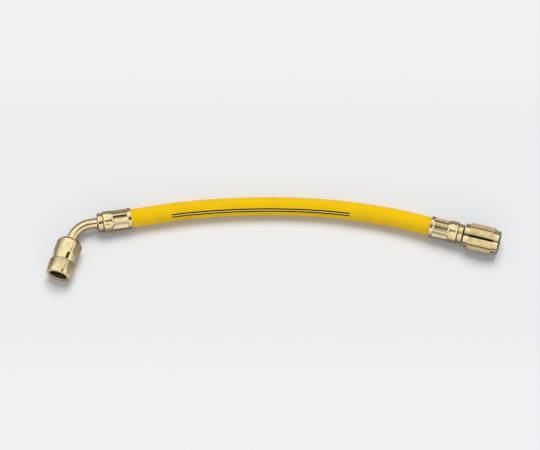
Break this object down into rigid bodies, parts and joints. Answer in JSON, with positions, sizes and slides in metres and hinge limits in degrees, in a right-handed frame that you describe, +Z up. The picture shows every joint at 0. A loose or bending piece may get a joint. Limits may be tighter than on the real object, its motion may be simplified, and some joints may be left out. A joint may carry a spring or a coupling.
{
  "type": "connection hose",
  "caption": "Short flexible hose for joining gas or refrigerant lines, with a swivelling hexagon nut on a bent tube at one end and a swivelling knurled nut at the other.",
  "frame": {"origin": "on the floor, under the middle of the box around the metal fittings", "axes": "+X from the elbow end to the straight end, +Y to the side that the hose bows to, +Z up from the floor that the hose lies on"},
  "size_m": [0.309, 0.0612, 0.0192],
  "materials": {
    "hose_yellow": "smooth satin",
    "brass": "bright turned",
    "gasket_rubber": "matt"
  },
  "bodies": {
    "hose_assembly": {"hose": "hose_yellow", "elbow_ferrule": "brass", "elbow_nipple": "brass", "elbow_tube": "brass", "elbow_seat": "brass", "elbow_gasket": "gasket_rubber", "elbow_core_depressor": "brass", "straight_ferrule": "brass", "straight_stem": "brass", "straight_gasket": "gasket_rubber"},
    "hexagon_nut": {"elbow_nut": "brass"},
    "knurled_nut": {"straight_nut": "brass"}
  },
  "joints": [
    {"name": "elbow_nut_spin", "type": "hinge", "parent": "hose_assembly", "child": "hexagon_nut", "pos_m": [-0.13832, 0.00196, 0.0085], "axis": [-0.309, -0.9511, 0], "continuous": true},
    {"name": "straight_nut_spin", "type": "hinge", "parent": "hose_assembly", "child": "knurled_nut", "pos_m": [0.12934, 0.00628, 0.00917], "axis": [0.9625, -0.2687, 0.0366], "continuous": true}
  ]
}
